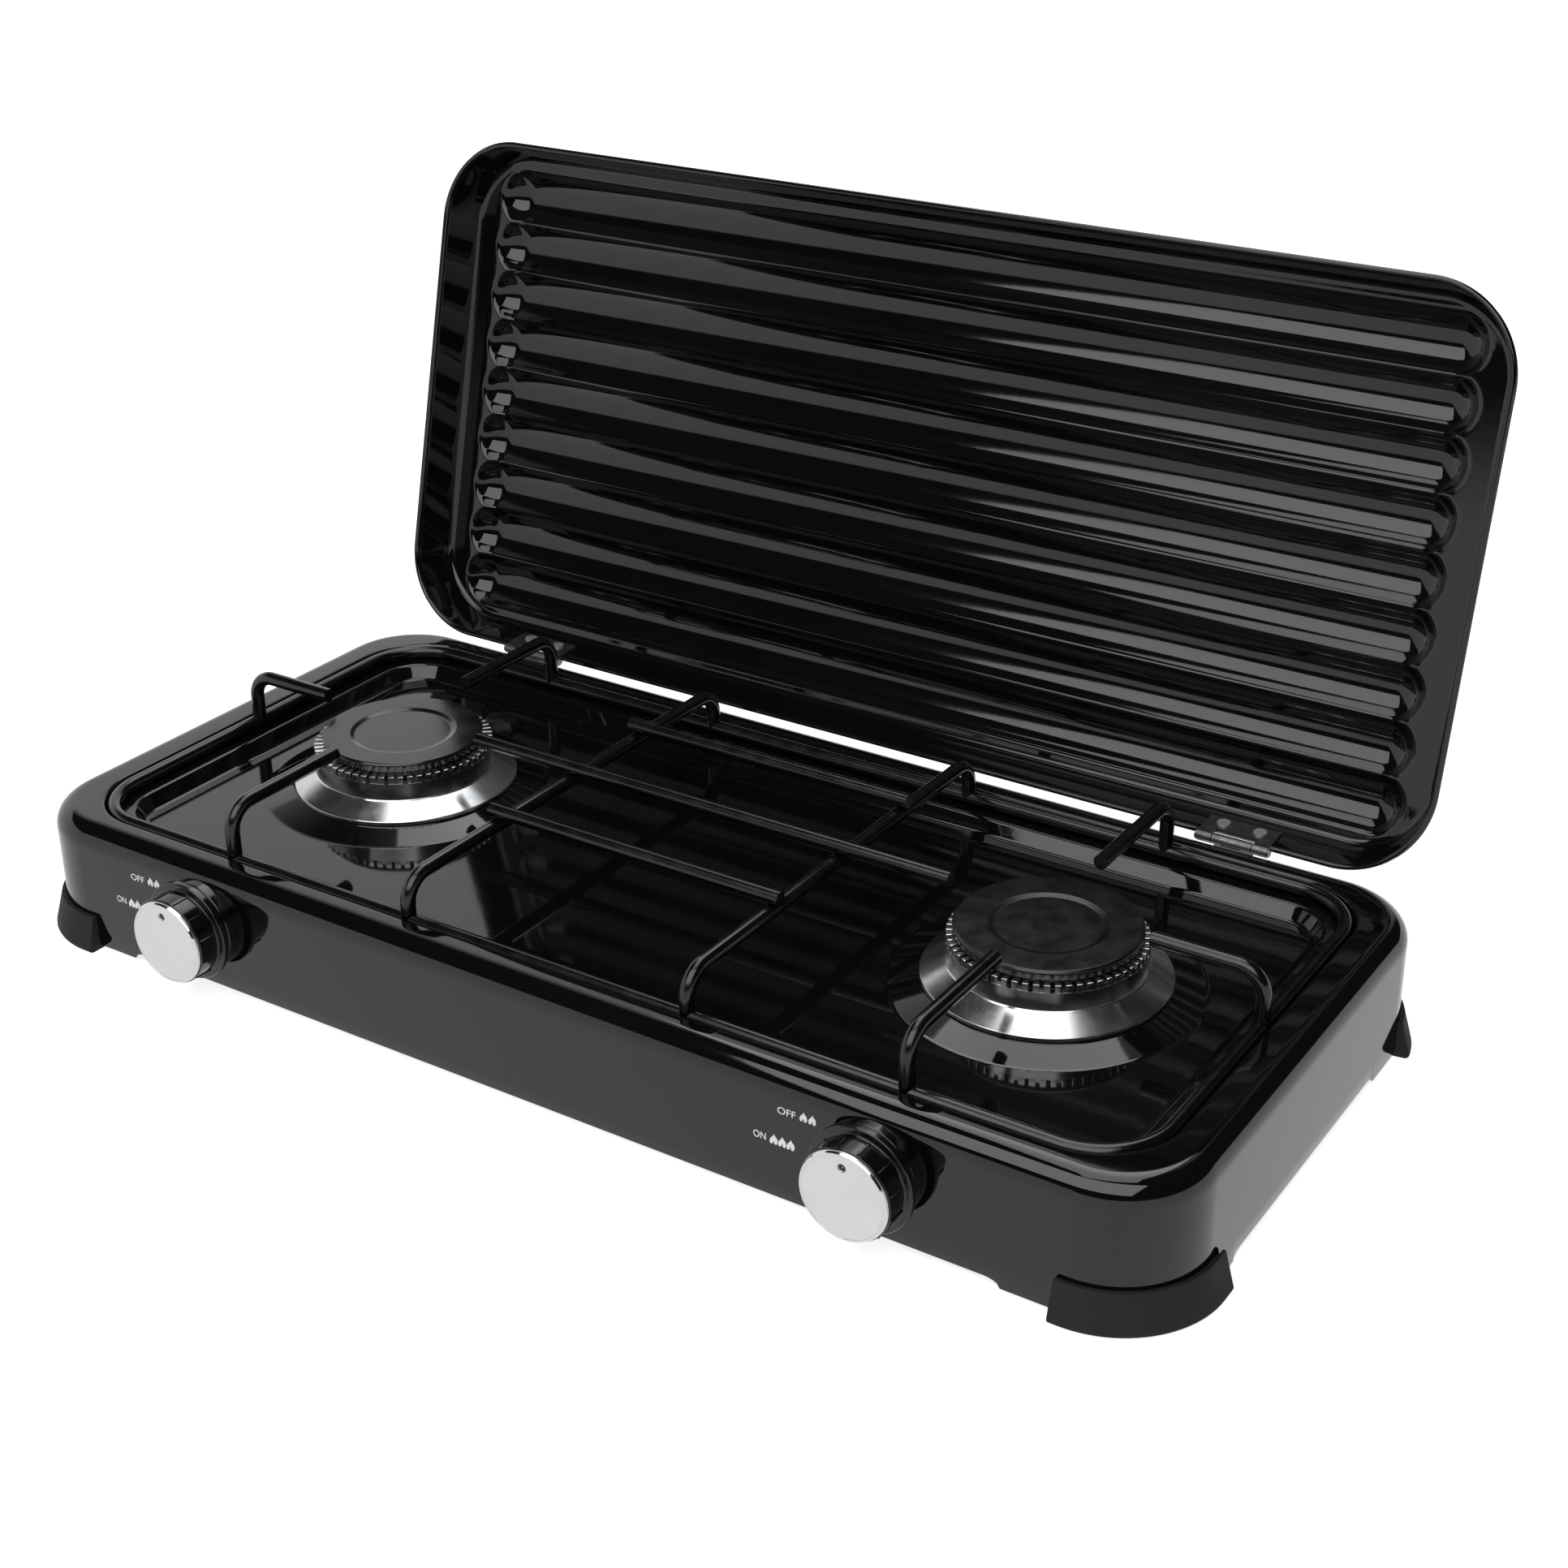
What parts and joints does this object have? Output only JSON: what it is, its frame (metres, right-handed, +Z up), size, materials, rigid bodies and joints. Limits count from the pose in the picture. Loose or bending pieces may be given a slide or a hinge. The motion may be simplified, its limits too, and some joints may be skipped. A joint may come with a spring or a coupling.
{
  "type": "two-burner gas hob",
  "caption": "Low black enamelled gas hob for a table top, with a sunk wire grate, push-and-turn taps and a ribbed lid that hinges up at the back.",
  "frame": {"origin": "on the surface it stands on, under the middle of the whole hob with its lid open", "axes": "+X to the right as seen by the user, +Y to the back, +Z up"},
  "size_m": [0.5428, 0.3374, 0.2849],
  "materials": {
    "black_enamel": "glossy black enamel on steel",
    "matt_enamel": "matt black enamel on steel",
    "rubber": "matt moulded",
    "zinc_plated_steel": "zinc plated",
    "cast_aluminium": "die-cast, turned bright on the crown",
    "brass": "machined",
    "black_plastic": "glossy moulded thermoset",
    "knob_aluminium": "satin with a bright bevel"
  },
  "bodies": {
    "hob_body": {"body_shell": "black_enamel", "foot_front_left": "rubber", "foot_front_right": "rubber", "foot_rear_left": "rubber", "foot_rear_right": "rubber", "body_hinge_leaf_left": "zinc_plated_steel", "body_hinge_leaf_right": "zinc_plated_steel", "hinge_pin_left": "zinc_plated_steel", "hinge_pin_right": "zinc_plated_steel", "body_rivets": "zinc_plated_steel", "burner_cup_left": "cast_aluminium", "burner_cup_right": "cast_aluminium", "cup_screws": "zinc_plated_steel", "injector_left": "brass", "injector_right": "brass", "gas_rail": "zinc_plated_steel", "tap_body_left": "brass", "tap_body_right": "brass", "tap_straps": "zinc_plated_steel", "strap_screws": "zinc_plated_steel", "tap_nut_left": "zinc_plated_steel", "tap_nut_right": "zinc_plated_steel", "knob_collar_left": "black_plastic", "knob_collar_right": "black_plastic", "hose_nozzle": "brass", "nozzle_nut": "brass", "nozzle_seal": "rubber"},
    "lid": {"lid_pan": "black_enamel", "lid_hinge_leaf_left": "zinc_plated_steel", "lid_hinge_leaf_right": "zinc_plated_steel", "lid_rivets": "zinc_plated_steel"},
    "grate": {"grate_frame": "black_enamel", "grate_bridge_left": "black_enamel", "grate_bridge_right": "black_enamel", "grate_cross_wires": "black_enamel", "grate_fingers_left": "black_enamel", "grate_fingers_right": "black_enamel"},
    "head_left": {"burner_head_left": "cast_aluminium"},
    "cap_left": {"burner_cap_left": "black_enamel"},
    "plug_left": {"tap_plug_left": "brass"},
    "knob_left": {"tap_spindle_left": "zinc_plated_steel", "tap_spring_left": "zinc_plated_steel", "knob_barrel_left": "black_plastic", "knob_face_left": "knob_aluminium"},
    "head_right": {"burner_head_right": "cast_aluminium"},
    "cap_right": {"burner_cap_right": "matt_enamel"},
    "plug_right": {"tap_plug_right": "brass"},
    "knob_right": {"tap_spindle_right": "zinc_plated_steel", "tap_spring_right": "zinc_plated_steel", "knob_barrel_right": "black_plastic", "knob_face_right": "knob_aluminium"}
  },
  "joints": [
    {"name": "lid_hinge", "type": "hinge", "parent": "hob_body", "child": "lid", "pos_m": [0, 0.08972, 0.05722], "axis": [-1, 0, 0], "range_deg": [-103.8, 0]},
    {"name": "grate_lift", "type": "slide", "parent": "hob_body", "child": "grate", "axis": [0, 0, 1], "range_m": [0, 0.04]},
    {"name": "burner_head_left_lift", "type": "slide", "parent": "hob_body", "child": "head_left", "axis": [0, 0, 1], "range_m": [0, 0.015]},
    {"name": "burner_cap_left_lift", "type": "slide", "parent": "head_left", "child": "cap_left", "axis": [0, 0, 1], "range_m": [0, 0.02]},
    {"name": "knob_left_turn", "type": "hinge", "parent": "hob_body", "child": "plug_left", "pos_m": [-0.1615, -0.14826, 0.032], "axis": [0, -1, 0], "range_deg": [0, 210]},
    {"name": "knob_left_push", "type": "slide", "parent": "plug_left", "child": "knob_left", "axis": [0, 1, 0], "range_m": [0, 0.003], "stiffness_N_per_m": 800, "springref_m": -0.004},
    {"name": "burner_head_right_lift", "type": "slide", "parent": "hob_body", "child": "head_right", "axis": [0, 0, 1], "range_m": [0, 0.015]},
    {"name": "burner_cap_right_lift", "type": "slide", "parent": "head_right", "child": "cap_right", "axis": [0, 0, 1], "range_m": [0, 0.02]},
    {"name": "knob_right_turn", "type": "hinge", "parent": "hob_body", "child": "plug_right", "pos_m": [0.1545, -0.14826, 0.032], "axis": [0, -1, 0], "range_deg": [0, 210]},
    {"name": "knob_right_push", "type": "slide", "parent": "plug_right", "child": "knob_right", "axis": [0, 1, 0], "range_m": [0, 0.003], "stiffness_N_per_m": 800, "springref_m": -0.004}
  ]
}
